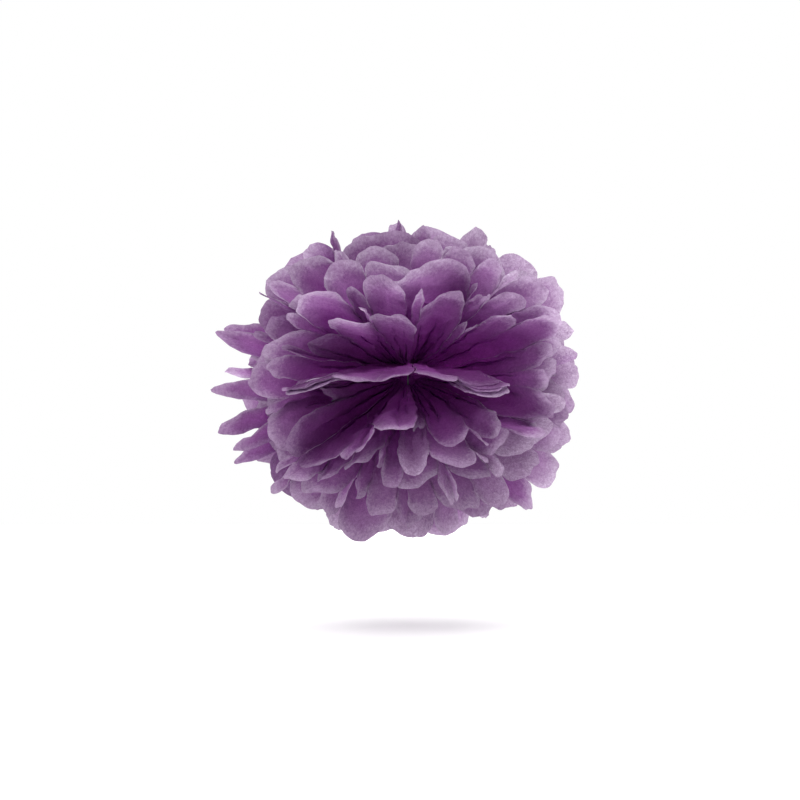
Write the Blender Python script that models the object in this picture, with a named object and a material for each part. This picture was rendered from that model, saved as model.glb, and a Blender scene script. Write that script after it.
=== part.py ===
"""Tissue paper pom pom: ten pleated sheets tied in the middle and fluffed into a ball.

Ten sheets of tissue are stacked, folded like an accordion into one strip, trimmed round at both
ends and tied with wire across the middle. The strip's two halves open into two fans, one on each
side of the tie, which together go once round the ball. Then the sheets are pulled apart one by
one, half of them to the front pole and half to the back pole. The front sheet's fans stay shut.

Frame: the tie is at the origin, the strip lies along X, the front pole is at -Y, and Z is up.
A place on a sheet is given by its fold number along the fan, its share of the way from the tie to
the petal tips, the fan angle (-90 degrees at the lower seam, +90 at the upper seam) and its place
in the stack (0 is the front sheet). Each sheet keeps to its own part of the stack, so no two meet.
"""

import math
import random

import bpy
import numpy as np

# Reach of the petals from the tie, in metres. The wire sits a little right of the strip's middle.
LEFT_REACH = 0.131
RIGHT_REACH = 0.119
TOP_REACH = 0.103
BOTTOM_REACH = 0.113
FRONT_REACH = 0.108

# Folding: the pleats of one fan, their width, and how deep the round trim cuts at a fold
PLEATS = 14
PLEAT_WIDTH = 0.025
NOTCH_DEPTH = 0.0138

# Tissue as modelled, and the clear space kept between two sheets where they are tied
SHEET_THICKNESS = 0.0002
SHEET_GAP = 0.00039

# Sheets with folds so sharp that their thickness needs the finer normals
SHARP_FOLDED = (0, 9)

# The tied waist: width across the pleats, half its length along the strip, and how far from the
# tie a pleat still follows its width and its length
WAIST_WIDTH = 0.012
WAIST_HALF_LENGTH = 0.0064
WAIST_REACH = 0.045
WAIST_END_REACH = 0.022

# Tie wire: its thickness, its clearance round the waist, and the twisted end
WIRE_DIAMETER = 0.0008
WIRE_CLEARANCE = 0.0003
TWIST_LENGTH = 0.009
TWIST_TURNS = 2
TWIST_STEPS = 16
LOOP_STEPS = 20

# Angle between the front pole and each sheet's petal tips, in degrees: at the two seams above and
# below the tie, and at the two sides, where the pleats stand less steeply. Past the first or last
# sheet it goes on by the past step for each sheet.
SEAM_ANGLES = (16, 24, 35, 48, 64, 82, 100, 120, 140, 159)
SIDE_ANGLES = (41, 46, 54, 63, 74, 85, 96, 109, 122, 136)
PAST_STEP = 12
SIDE_SHARPNESS = 3
SHEETS = len(SEAM_ANGLES)

# Where the front sheets are pushed open: side, fan angle, half width in degrees, and the share of
# the way that they lie over towards the middle of the stack
OPENINGS = (
    (-1, -40, 15, 0.36),
    (1, 18, 17, 0.34),
    (1, -14, 9, 0.22),
    (1, 67, 14, 0.2),
)

# Round the ball the sheets wave together, towards the front and the back: for each wave its
# height in degrees, how many go once round and where it starts. The waves die out at both poles.
ROUND_WAVES = ((8, 3, 20), (4, 7, 100))
WAVES_RISE = (50, 88)
WAVES_FALL = (120, 172)

# How far each sheet's seam is turned towards the right fan (below) or the left fan (above), and
# how far the two fans pass each other there, in degrees
LOWER_SEAMS = (9, 6, -5, -8, 3, -5, 7, -4, 6, -6)
UPPER_SEAMS = (-3, 6, -5, 4, -7, 5, -4, 7, -6, 4)
SEAM_OVERLAP = 3

# A sheet keeps to this much of the step to the next sheet, and its seams lie this far off middle.
# The second sheet has more room towards the front, because the front sheet lies flat.
BAND = 0.42
FRONT_ROOMS = {1: 0.9}
SEAM_PLACE = 0.28

# A fan's panels are wide and narrow in turn: least and most share of a pair that the wide one has
LEAST_WIDE = 0.66
MOST_WIDE = 0.90

# A wide petal keeps its width towards the tie, over the narrow one beside it: by how much, and over
# which share of the reach that builds up
OVERLAP = 1.0
OVERLAP_REACH = 0.65

# Petals open outward along their length by this share of their angle from the middle. Near the
# tie the pleats are even, up to the straight share, and a sheet's folds settle within a short way.
ARCH = 0.16
STRAIGHT_SHARE = 0.35
SETTLE_REACH = 0.02

# How much petals differ: in length, notch, width, depth of fold, bulge, crease, curl and sway.
# A crease flattens towards the tip: the share of its depth lost there, and the power of that.
LENGTH_SPREAD = 0.07
NOTCH_SPREAD = 0.15
WIDE_SPREAD = 0.10
NARROW_SPREAD = 0.50
FOLD_DEPTHS = (0.8, 1.1)
BULGE = 0.22
CREASES = (0, 0, 0, 0.4, -0.4)
CURL = 0.35
CREASE_LOSS = 0.7
CREASE_FADE = 6
SWAY_ANGLE = 4
SWAY_WAVES = (0.8, 1.6)

# Shape of the trimmed tips: the power of their curve, 2 for a round tip and less for a pointed one,
# and the numbers of the pointed petals for (sheet, side)
ROUND = 2.0
POINTED = 1.4
POINTED_PETALS = {
    (3, -1): (10,),
    (4, -1): (4, 6),
    (4, 1): (7,),
    (5, -1): (5, 8, 12),
    (6, -1): (4, 9, 13),
    (6, 1): (7,),
}

# Hand-set folds of the petals that face the viewer, for (sheet, side): fold number, fan angle and
# place in the stack from the sheet's own
SET_FOLDS = {
    (1, -1): (
        (1, -63, -0.75), (2, -60, 0.35), (3, -54, -0.10), (4, -42, 0.30), (5, -24, -0.60),
        (6, -9, 0.30), (7, -5, -0.30), (8, -2, 0.25), (9, 13, -0.30), (10, 20, 0.10),
        (11, 37, 0.30), (12, 59, -0.10), (13, 62, 0.38),
    ),
    (1, 1): (
        (1, -70, 0.20), (2, -44, -0.65), (3, -43, 0.35), (4, -27, -0.75), (5, -24.5, 0.38),
        (6, -8, 0.30), (7, 2, -0.2), (8, 14, 0.20), (9, 27, -0.30), (10, 40, 0.38),
        (11, 44, -0.38), (12, 54, 0.35), (13, 79, -0.25),
    ),
    (2, -1): (
        (4, -52, 0.3), (5, -41, -0.3), (9, 9, 0.3), (10, 27, -0.3), (11, 34, 0.3),
        (12, 54, -0.2), (13, 66, 0.35),
    ),
    (2, 1): (
        (1, -75, -0.3), (2, -54, 0.1), (3, -51, 0.38), (4, -34, -0.3), (5, -24, 0.3),
        (6, -21, -0.35), (7, -6, 0.2), (9, 21, -0.3), (11, 47, 0.2), (12, 55, -0.38),
        (13, 61, 0.3),
    ),
    (3, -1): (
        (1, -72, 0.3), (2, -66, -0.38), (3, -63, 0.3), (4, -47, -0.3), (9, 17, 0.3),
        (10, 33, -0.3), (11, 36, 0.3), (12, 52, -0.3), (13, 72, 0.3),
    ),
    (3, 1): (
        (1, -76, -0.3), (2, -71, 0.3), (3, -68, -0.38), (4, -52, 0.3), (9, 31, -0.3),
        (10, 46, 0.3), (12, 62, -0.3), (13, 76, 0.2),
    ),
    (4, 1): ((7, 4, 0.3), (8, 13, -0.3)),
    (4, -1): (
        (4, -30, 0.3), (5, -20, -0.3), (6, -12.5, 0.3), (7, -2.5, -0.3), (9, 20, 0.3),
    ),
    (5, -1): (
        (5, -23.5, -0.3), (6, -13.5, 0.3), (8, 7.5, -0.3), (9, 18.5, 0.3), (12, 64.2, -0.2),
        (13, 68.2, 0.2),
    ),
    (6, -1): (
        (4, -36, 0.3), (5, -26, -0.3), (9, 14.5, 0.3), (10, 24.5, -0.3), (13, 84.5, -0.3),
    ),
}

# Hand-set places of a fan's edge at the lower seam, for (sheet, side)
SET_EDGES = {(1, -1): -0.6, (1, 1): 0.3}

# Petals that are curled or trimmed short, or stand out long, as shares of the reach: for
# (sheet, side), panel number and share. The left side's bare gaps and spikes come from these.
SET_LENGTHS = {
    (0, -1): {10: 0.9, 11: 1.0, 12: 0.97, 13: 0.93},
    (0, 1): {11: 0.9, 12: 1.0, 13: 0.96},
    (1, -1): {0: 1.0, 5: 0.66, 6: 0.7, 7: 0.75, 8: 1.0, 9: 0.93, 10: 0.8, 11: 0.97},
    (1, 1): {0: 0.8, 4: 0.8, 5: 0.95, 10: 0.8, 11: 0.8},
    (3, -1): {4: 0.9, 5: 0.84, 6: 0.84, 7: 0.84, 8: 0.84, 9: 0.9},
    (3, 1): {6: 0.95, 7: 0.84},
    (4, -1): {0: 0.95, 1: 1.07, 3: 0.84, 4: 1.04, 5: 0.80, 6: 1.08, 7: 0.82, 8: 0.84, 9: 0.89},
    (4, 1): {5: 0.9, 6: 0.84, 7: 0.97},
    (5, -1): {4: 0.84, 5: 1.05, 6: 0.82, 7: 0.80, 8: 1.03, 9: 0.82, 12: 1.05},
    (5, 1): {0: 0.96, 6: 0.93, 7: 0.97, 8: 0.92},
    (6, -1): {4: 1.06, 5: 0.84, 6: 0.8, 7: 0.8, 8: 0.84, 9: 1.03, 10: 0.9, 11: 1.04, 12: 0.97, 13: 1.03},
    (6, 1): {6: 0.97, 7: 0.9, 8: 0.94, 12: 0.97},
    (7, -1): {5: 0.84, 6: 0.84, 7: 0.84, 8: 0.84},
    (7, 1): {6: 0.94, 7: 0.94},
}

# Petals creased along their middle: for (sheet, side), panel number and depth in the stack
SET_CREASES = {
    (1, -1): {0: 1.1},
    (1, 1): {1: 0.3},
    (2, 1): {11: -0.5},
    (3, 1): {9: -0.5},
}

# The front sheet lies flat, with its fans shut: its pleats are stacked in layers, but for the top
# ones, which are spread out side by side into a strip of petals across the ball. For each side,
# in degrees from the front pole: the folds of the spread pleats, the outer and inner folds of the
# shut ones at their tips, and how near to the pole the inner folds come, where the shut pleats
# keep their width towards the tie
SPREAD_FOLDS = {-1: (-37.0, -23.8, -10.0, 2.0), 1: (33.0, 17.9, 2.8)}
SHUT_FOLDS = {-1: (-37.5, -24.0), 1: (33.5, 19.5)}
SHUT_NEAR_TIE = {-1: -7.0, 1: 6.0}

# The front sheet's notches as a share of the reach, how much its petals open outward along their
# length, and the share of the waist's width that its layers take
FRONT_NOTCH = 0.88
FRONT_ARCH = 0.22
STACK_SQUEEZE = 0.85

# How far the strip rises on its way from the tie, how far its tips hang down at the pole and, as a
# share of the reach for each degree squared, towards the sides. Then the wave from petal to petal:
# its height, its turn for each degree round the pole and where it starts, in degrees
STRIP_RISE = 0.0042
STRIP_DROOP = 0.0055
SIDE_DROOPS = {-1: 0.0000128, 1: 0.000028}
STRIP_WAVE = 0.0018
WAVES_PER_DEGREE = 12.5
WAVE_START = 40

# Rows of points between the tie and the notches, and where across a petal its tip points are
ROOT_SHARE = 0.10
MIDDLE_SHARE = 0.50
TIP_STEPS = (0.146, 0.5, 0.854)

# Colours and roughness of the tissue and of the wire
TISSUE_COLOUR = (0.25, 0.08, 0.27)
TISSUE_ROUGHNESS = 0.85
WIRE_COLOUR = (0.30, 0.30, 0.32)
WIRE_ROUGHNESS = 0.4

# Start of the random values, and the steps in it from sheet to sheet and from side to side
SEED = 5
SEEDS_A_SHEET = 7919
SEEDS_A_SIDE = 31

RIGHT = 1
LEFT = -1
MEAN_REACH = (LEFT_REACH + RIGHT_REACH) / 2
SHEET_PITCH = SHEET_THICKNESS + SHEET_GAP


def smooth(x):
    """A soft step from 0 to 1."""
    x = np.clip(x, 0.0, 1.0)
    return x * x * (3 - 2 * x)


def pole_angle(place, fan_angle, side):
    """Angle from the front pole, in degrees, for a place in the stack. It grows with place."""
    rows = np.arange(SHEETS)
    past = np.minimum(place, 0) + np.maximum(place - (SHEETS - 1), 0)
    at_seam = np.interp(place, rows, SEAM_ANGLES) + past * PAST_STEP
    at_side = np.interp(place, rows, SIDE_ANGLES) + past * PAST_STEP
    sideways = np.abs(np.cos(np.radians(fan_angle))) ** SIDE_SHARPNESS
    angle = at_seam * (1 - sideways) + at_side * sideways
    for opened_side, centre, width, share in OPENINGS:
        if opened_side == side:
            push = share * np.exp(-(((fan_angle - centre) / width) ** 2))
            angle = angle + push * np.maximum(90 - angle, 0)
    return angle + waves_round(angle, fan_angle, side)


def waves_round(angle, fan_angle, side):
    """How far the sheets' common waves move a place away from the front pole, in degrees."""
    round_angle = fan_angle if side == RIGHT else 180 - fan_angle
    wave = 0
    for height, count, start in ROUND_WAVES:
        wave = wave + height * np.sin(np.radians(round_angle * count + start))
    rise = smooth((angle - WAVES_RISE[0]) / (WAVES_RISE[1] - WAVES_RISE[0]))
    fall = 1 - smooth((angle - WAVES_FALL[0]) / (WAVES_FALL[1] - WAVES_FALL[0]))
    return wave * rise * fall


def waist_nest(sheet):
    """How far a sheet's waist lies inside the middle sheet's, so that the fans nest."""
    from_middle = abs(sheet - (SHEETS - 1) / 2)
    return (from_middle - 0.5) * SHEET_PITCH


def varied(rng, spread):
    """A random value within the spread on either side of 0."""
    return spread * rng.uniform(-1, 1)


def pleat_widths(sheet, rng):
    """Relative fan widths of one fan's panels, and the way that its folds alternate.

    A sheet near a pole has a short way round, so every second panel lies nearly flat on and the
    panel between stands edge on.
    """
    mid_angle = math.radians((SEAM_ANGLES[sheet] + SIDE_ANGLES[sheet]) / 2)
    pair_arc = MEAN_REACH * math.sin(mid_angle) * math.pi / (PLEATS / 2)
    wide_share = min(MOST_WIDE, max(LEAST_WIDE, PLEAT_WIDTH / pair_arc))
    flip = rng.random() < 0.5
    widths = []
    for panel in range(PLEATS):
        if (panel % 2 == 0) != flip:
            widths.append(wide_share * (1 + varied(rng, WIDE_SPREAD)))
        else:
            widths.append((1 - wide_share) * (1 + varied(rng, NARROW_SPREAD)))
    return widths, flip


def placed_folds(angles, places, folds):
    """Moves the hand-set folds to their angles, and the folds between them in proportion."""
    kept = [fold for fold in folds if fold[0] < PLEATS]
    stops = [0] + [fold[0] for fold in kept] + [PLEATS]
    new = [angles[0]] + [fold[1] for fold in kept] + [angles[-1]]
    moved = angles.copy()
    for first, last, start, end in zip(stops, stops[1:], new, new[1:]):
        scale = (end - start) / (angles[last] - angles[first])
        for fold in range(first, last + 1):
            moved[fold] = start + (angles[fold] - angles[first]) * scale
    for fold, _, place in kept:
        places[fold] = place
    return moved, places


def fan_of(sheet, side):
    """One fan of one sheet: fan angle and place of each fold, and each petal's own shape."""
    rng = random.Random(SEED + SEEDS_A_SHEET * sheet + SEEDS_A_SIDE * (side == RIGHT))
    widths, flip = pleat_widths(sheet, rng)
    edges = np.concatenate([[0], np.cumsum(widths)])
    low = -90 + side * LOWER_SEAMS[sheet] - SEAM_OVERLAP
    high = 90 - side * UPPER_SEAMS[sheet] + SEAM_OVERLAP
    angles = low + edges / edges[-1] * (high - low)
    places = np.empty(PLEATS + 1)
    for fold in range(PLEATS + 1):
        turn = 1 if (fold % 2 == 0) == flip else -1
        places[fold] = turn * BAND * rng.uniform(*FOLD_DEPTHS)
    places[0] = -side * SEAM_PLACE
    places[-1] = side * SEAM_PLACE
    places[0] = SET_EDGES.get((sheet, side), places[0])
    angles, places = placed_folds(angles, places, SET_FOLDS.get((sheet, side), ()))
    lengths = [1 + varied(rng, LENGTH_SPREAD) for _ in range(PLEATS)]
    bulges = [varied(rng, BULGE) for _ in range(PLEATS)]
    creases = [rng.choice(CREASES) for _ in range(PLEATS)]
    curls = [varied(rng, CURL) for _ in range(PLEATS)]
    for panel, share in SET_LENGTHS.get((sheet, side), {}).items():
        lengths[panel] = share
    for panel, depth in SET_CREASES.get((sheet, side), {}).items():
        creases[panel] = depth
    pointed = POINTED_PETALS.get((sheet, side), ())
    blunts = [POINTED if panel in pointed else ROUND for panel in range(PLEATS)]
    notches = []
    for fold in range(PLEATS + 1):
        shorter = min(lengths[max(fold - 1, 0) : fold + 1])
        notches.append(shorter - NOTCH_DEPTH / MEAN_REACH * (1 + varied(rng, NOTCH_SPREAD)))
    if sheet == 0:
        notches = [FRONT_NOTCH] * (PLEATS + 1)
    swing = varied(rng, SWAY_ANGLE)
    sway = (swing, rng.uniform(0, 2 * math.pi), rng.uniform(*SWAY_WAVES))
    return {
        "angles": angles,
        "places": places,
        "lengths": np.array(lengths),
        "bulges": np.array(bulges),
        "creases": np.array(creases),
        "curls": np.array(curls),
        "notches": np.array(notches),
        "blunts": np.array(blunts),
        "sway": sway,
    }


def panel_of(along):
    """The panel that a fold number lies in, and how far across it, from 0 to 1."""
    panel = np.clip(np.floor(along).astype(int), 0, PLEATS - 1)
    return panel, along - panel


def tip_share(fan, along):
    """Share of the reach where the round trimmed edge is: a half ellipse on each panel."""
    panel, across = panel_of(along)
    base = fan["notches"][panel] * (1 - across) + fan["notches"][panel + 1] * across
    blunt = fan["blunts"][panel]
    arc = np.clip(1 - np.abs(2 * across - 1) ** blunt, 0, 1) ** (1 / blunt)
    return base + (fan["lengths"][panel] - base) * arc


def fan_angle_at(fan, along, share):
    """Fan angle: even at the tie, then to each fold's own angle, with a slow sway at the tips."""
    panel, across = panel_of(along)
    own = fan["angles"][panel] * (1 - across) + fan["angles"][panel + 1] * across
    widths = np.diff(fan["angles"])
    push = np.zeros(PLEATS + 1)
    push[1:-1] = (widths[:-1] - widths[1:]) / 2
    push = push[panel] * (1 - across) + push[panel + 1] * across
    own = own + OVERLAP * push * smooth((1 - share) / OVERLAP_REACH)
    swing, phase, waves = fan["sway"]
    inner = np.sin(math.pi * along / PLEATS)
    turn = phase + waves * 2 * math.pi * along / PLEATS
    own = own + swing * np.sin(turn) * inner * share**2
    even = (along / PLEATS - 0.5) * 180
    return even + (own - even) * smooth(share / STRAIGHT_SHARE)


def place_at(fan, sheet, along, share):
    """Place in the stack: folds alternate front and back, and petals cup, crease and curl."""
    panel, across = panel_of(along)
    place = fan["places"][panel] * (1 - across) + fan["places"][panel + 1] * across
    cup = fan["bulges"][panel] * 4 * across * (1 - across)
    crease = fan["creases"][panel] * (1 - np.abs(2 * across - 1))
    curl = np.interp(along, np.arange(PLEATS) + 0.5, fan["curls"])
    flattened = 1 - CREASE_LOSS * share**CREASE_FADE
    place = place + (cup + crease * flattened) * share + curl * share**4
    room = np.where(place < 0, FRONT_ROOMS.get(sheet, BAND), BAND)
    near_tie = BAND / room
    opened = near_tie + (1 - near_tie) * smooth(share / STRAIGHT_SHARE)
    own = room * np.tanh(place / room) * opened
    return sheet + own * smooth(share * MEAN_REACH / SETTLE_REACH)


def waist_share(share, reach):
    """How far a place still follows the tied waist: 1 at the tie and 0 past the reach."""
    return 1 - smooth(share * MEAN_REACH / reach)


def sheet_points(sheet, side, fan, along, share):
    """Points of a sheet in metres, from fold numbers and shares of the reach."""
    along = np.asarray(along, float)
    share = np.asarray(share, float)
    if sheet == 0:
        return front_points(side, along, share)
    fan_angle = fan_angle_at(fan, along, share)
    angle = pole_angle(place_at(fan, sheet, along, share), fan_angle, side)
    angle = np.radians(90 + (angle - 90) * (1 + ARCH * (1 - share)))
    fan_angle = np.radians(fan_angle)
    across = side * np.sin(angle) * np.cos(fan_angle)
    up = np.sin(angle) * np.sin(fan_angle)
    reach_x = MEAN_REACH + (RIGHT_REACH - LEFT_REACH) / 2 * across
    reach_z = (TOP_REACH + BOTTOM_REACH) / 2 + (TOP_REACH - BOTTOM_REACH) / 2 * up
    held = waist_share(share, WAIST_REACH)
    end_held = waist_share(share, WAIST_END_REACH)
    waist_y = (sheet - (SHEETS - 1) / 2) * SHEET_PITCH
    nest = waist_nest(sheet)
    x = side * (WAIST_HALF_LENGTH - nest) * end_held + share * reach_x * across
    y = waist_y * held - share * FRONT_REACH * np.cos(angle)
    z = (along / PLEATS - 0.5) * (WAIST_WIDTH - 2 * nest) * held + share * reach_z * up
    return np.stack([x, y, z], axis=-1)


def front_points(side, along, share):
    """Points of the front sheet, whose pleats lie in flat layers with a strip spread on top."""
    spread = SPREAD_FOLDS[side]
    shut = PLEATS + 1 - len(spread)
    outer, inner = SHUT_FOLDS[side]
    folds = np.arange(PLEATS + 1)
    is_inner = (folds < shut) & ((folds + shut) % 2 == 1)
    turns = np.where(is_inner, inner, outer)
    turns[shut:] = spread
    width = outer - inner
    widest = outer - SHUT_NEAR_TIE[side]
    extra = width / np.maximum(share, width / widest) - width
    turned = np.interp(along, folds, turns) - np.interp(along, folds, is_inner) * extra
    away = np.radians(turned * (1 - FRONT_ARCH * (1 - share)))
    nest = waist_nest(0)
    reach_x = RIGHT_REACH if side == RIGHT else LEFT_REACH
    end = side * (WAIST_HALF_LENGTH - nest) * waist_share(share, WAIST_END_REACH)
    x = end + share * reach_x * np.sin(away)
    waist_y = -(SHEETS - 1) / 2 * SHEET_PITCH
    y = waist_y * waist_share(share, WAIST_REACH) - share * FRONT_REACH * np.cos(away)
    layer = (along / PLEATS - 0.5) * (WAIST_WIDTH - 2 * nest) * STACK_SQUEEZE
    rise = STRIP_RISE * 4 * share * (1 - share)
    wave = STRIP_WAVE * np.sin(np.radians(turned * WAVES_PER_DEGREE + WAVE_START)) * share
    droop = (STRIP_DROOP + SIDE_DROOPS[side] * MEAN_REACH * turned**2) * share**3
    return np.stack([x, y, layer + rise + wave - droop], axis=-1)


def plain_material(name, colour, roughness):
    material = bpy.data.materials.new(name)
    material.use_nodes = True
    shader = material.node_tree.nodes["Principled BSDF"]
    shader.inputs["Base Color"].default_value = (*colour, 1)
    shader.inputs["Roughness"].default_value = roughness
    shader.inputs["Metallic"].default_value = 0
    return material


def add_object(name, points, faces, material):
    mesh = bpy.data.meshes.new(name)
    mesh.from_pydata([tuple(point) for point in points], [], faces)
    mesh.materials.append(material)
    piece = bpy.data.objects.new(name, mesh)
    bpy.context.scene.collection.objects.link(piece)
    return piece


def fan_mesh(sheet, side, points, faces):
    """Adds one fan's surface, and gives its row of points at the tie.

    Each panel's faces mirror its neighbour's across their fold, so shut pleats lie clear.
    """
    fan = fan_of(sheet, side)
    folds = np.arange(PLEATS + 1)
    halves = np.arange(2 * PLEATS + 1) / 2
    panel, across = panel_of(halves)
    notch = fan["notches"][panel] * (1 - across) + fan["notches"][panel + 1] * across
    tips = np.array([fold + step for fold in range(PLEATS) for step in TIP_STEPS])
    rows = []
    for along, share in (
        (folds, np.zeros(PLEATS + 1)),
        (folds, np.full(PLEATS + 1, ROOT_SHARE)),
        (halves, np.full(2 * PLEATS + 1, MIDDLE_SHARE)),
        (halves, notch),
        (tips, tip_share(fan, tips)),
    ):
        rows.append(range(len(points), len(points) + len(along)))
        points.extend(sheet_points(sheet, side, fan, along, share))
    tie, root, middle, neck, tip = rows
    made = []
    for fold in range(PLEATS):
        left, mid, right = 2 * fold, 2 * fold + 1, 2 * fold + 2
        start = len(TIP_STEPS) * fold
        first, top, last = tip[start], tip[start + 1], tip[start + 2]
        made += [
            (tie[fold], tie[fold + 1], root[fold + 1], root[fold]),
            (root[fold], middle[mid], middle[left]),
            (root[fold], root[fold + 1], middle[mid]),
            (root[fold + 1], middle[right], middle[mid]),
            (middle[left], middle[mid], neck[mid]),
            (middle[left], neck[mid], neck[left]),
            (middle[mid], middle[right], neck[mid]),
            (middle[right], neck[right], neck[mid]),
            (neck[left], neck[mid], first),
            (neck[mid], top, first),
            (neck[mid], last, top),
            (neck[mid], neck[right], last),
        ]
    if side == LEFT:
        made = [face[::-1] for face in made]
    faces.extend(made)
    return tie


def make_sheet(sheet):
    """One whole sheet of tissue: both fans, joined by its narrow waist under the wire."""
    points = []
    faces = []
    right = fan_mesh(sheet, RIGHT, points, faces)
    left = fan_mesh(sheet, LEFT, points, faces)
    for fold in range(PLEATS):
        faces.append((left[fold], left[fold + 1], right[fold + 1], right[fold]))
    name = f"sheet_{sheet + 1:02d}"
    tissue = plain_material(f"tissue_{name}", TISSUE_COLOUR, TISSUE_ROUGHNESS)
    piece = add_object(name, points, faces, tissue)
    thickness = piece.modifiers.new("paper thickness", "SOLIDIFY")
    thickness.thickness = SHEET_THICKNESS
    thickness.offset = 0
    thickness.use_quality_normals = sheet in SHARP_FOLDED
    return piece


def tie_path():
    """Middle line of the wire: down its twisted end, once round the waist, and up again."""
    radius = WIRE_DIAMETER / 2
    clear = SHEET_THICKNESS / 2 + WIRE_CLEARANCE + radius
    half_y = (SHEETS - 1) / 2 * SHEET_PITCH + clear
    half_z = WAIST_WIDTH / 2 + clear
    coil = radius + WIRE_CLEARANCE / 2
    start = math.acos(-coil / half_y)
    loop = []
    for step in range(LOOP_STEPS + 1):
        turn = start + (2 * math.pi - 2 * start + math.pi) * step / LOOP_STEPS
        lift = math.copysign(half_z - half_y, math.sin(turn))
        loop.append((0, half_y * math.cos(turn), half_y * math.sin(turn) + lift))
    top = loop[0][2]
    strands = []
    for way in (1, -1):
        strand = []
        for step in range(1, TWIST_STEPS + 1):
            turn = 2 * math.pi * TWIST_TURNS * step / TWIST_STEPS
            height = top + TWIST_LENGTH * step / TWIST_STEPS
            strand.append((way * coil * math.sin(turn), -way * coil * math.cos(turn), height))
        strands.append(strand)
    return strands[0][::-1] + loop + strands[1]


def make_tie_wire():
    """A loop of wire round the waist, with its two ends twisted together above it."""
    path = tie_path()
    curve = bpy.data.curves.new("tie_wire", "CURVE")
    curve.dimensions = "3D"
    curve.bevel_depth = WIRE_DIAMETER / 2
    curve.bevel_resolution = 1
    curve.use_fill_caps = True
    line = curve.splines.new("POLY")
    line.points.add(len(path) - 1)
    for point, place in zip(line.points, path):
        point.co = (*place, 1)
    curve.materials.append(plain_material("wire", WIRE_COLOUR, WIRE_ROUGHNESS))
    piece = bpy.data.objects.new("tie_wire", curve)
    bpy.context.scene.collection.objects.link(piece)
    return piece


def main():
    for old in list(bpy.data.objects):
        bpy.data.objects.remove(old, do_unlink=True)
    for sheet in range(SHEETS):
        make_sheet(sheet)
    make_tie_wire()


main()
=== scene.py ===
"""Tissue paper pom pom, dressed for rendering: every folded sheet of tissue as one fine surface."""

import math
import random

import bpy
import numpy as np
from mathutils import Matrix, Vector


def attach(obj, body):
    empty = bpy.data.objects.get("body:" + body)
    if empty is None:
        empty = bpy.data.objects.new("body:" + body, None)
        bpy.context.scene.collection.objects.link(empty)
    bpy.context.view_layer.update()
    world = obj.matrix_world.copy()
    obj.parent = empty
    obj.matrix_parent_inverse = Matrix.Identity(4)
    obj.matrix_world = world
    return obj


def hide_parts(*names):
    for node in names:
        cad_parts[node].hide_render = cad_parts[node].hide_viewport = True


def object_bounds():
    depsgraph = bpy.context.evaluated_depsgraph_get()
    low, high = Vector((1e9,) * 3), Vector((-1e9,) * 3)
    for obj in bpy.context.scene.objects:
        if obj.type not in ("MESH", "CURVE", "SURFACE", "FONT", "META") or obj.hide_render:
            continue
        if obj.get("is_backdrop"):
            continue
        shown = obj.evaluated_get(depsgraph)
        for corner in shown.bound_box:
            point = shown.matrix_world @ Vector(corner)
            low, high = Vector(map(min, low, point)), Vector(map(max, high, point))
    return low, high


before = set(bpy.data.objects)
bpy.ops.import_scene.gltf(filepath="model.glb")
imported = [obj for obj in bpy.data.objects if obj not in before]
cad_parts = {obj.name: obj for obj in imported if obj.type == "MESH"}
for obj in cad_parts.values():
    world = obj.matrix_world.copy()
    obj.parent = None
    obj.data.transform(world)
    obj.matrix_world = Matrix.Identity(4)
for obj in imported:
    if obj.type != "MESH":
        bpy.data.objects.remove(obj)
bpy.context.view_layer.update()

# The sizes and the shape below repeat the part's own source, so that every sheet lies where its
# solid lies. What follows them is the fine detail: tucks, crinkles, crisp folds and uneven rims.

# Reach of the petals from the tie, in metres. The wire sits a little right of the strip's middle.
LEFT_REACH = 0.131
RIGHT_REACH = 0.119
TOP_REACH = 0.103
BOTTOM_REACH = 0.113
FRONT_REACH = 0.108

# Folding: the pleats of one fan, their width, and how deep the round trim cuts at a fold
PLEATS = 14
PLEAT_WIDTH = 0.025
NOTCH_DEPTH = 0.0138

# Tissue as modelled, and the clear space kept between two sheets where they are tied
SHEET_THICKNESS = 0.0002
SHEET_GAP = 0.00039

# The tied waist: width across the pleats, half its length along the strip, and how far from the
# tie a pleat still follows its width and its length
WAIST_WIDTH = 0.012
WAIST_HALF_LENGTH = 0.0064
WAIST_REACH = 0.045
WAIST_END_REACH = 0.022

# Angle between the front pole and each sheet's petal tips, in degrees: at the two seams above and
# below the tie, and at the two sides, where the pleats stand less steeply. Past the first or last
# sheet it goes on by the past step for each sheet.
SEAM_ANGLES = (16, 24, 35, 48, 64, 82, 100, 120, 140, 159)
SIDE_ANGLES = (41, 46, 54, 63, 74, 85, 96, 109, 122, 136)
PAST_STEP = 12
SIDE_SHARPNESS = 3
SHEETS = len(SEAM_ANGLES)

# Where the front sheets are pushed open: side, fan angle, half width in degrees, and the share of
# the way that they lie over towards the middle of the stack
OPENINGS = (
    (-1, -40, 15, 0.36),
    (1, 18, 17, 0.34),
    (1, -14, 9, 0.22),
    (1, 67, 14, 0.2),
)

# Round the ball the sheets wave together, towards the front and the back: for each wave its
# height in degrees, how many go once round and where it starts. The waves die out at both poles.
ROUND_WAVES = ((8, 3, 20), (4, 7, 100))
WAVES_RISE = (50, 88)
WAVES_FALL = (120, 172)

# How far each sheet's seam is turned towards the right fan (below) or the left fan (above), and
# how far the two fans pass each other there, in degrees
LOWER_SEAMS = (9, 6, -5, -8, 3, -5, 7, -4, 6, -6)
UPPER_SEAMS = (-3, 6, -5, 4, -7, 5, -4, 7, -6, 4)
SEAM_OVERLAP = 3

# A sheet keeps to this much of the step to the next sheet, and its seams lie this far off middle.
# The second sheet has more room towards the front, because the front sheet lies flat.
BAND = 0.42
FRONT_ROOMS = {1: 0.9}
SEAM_PLACE = 0.28

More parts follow.
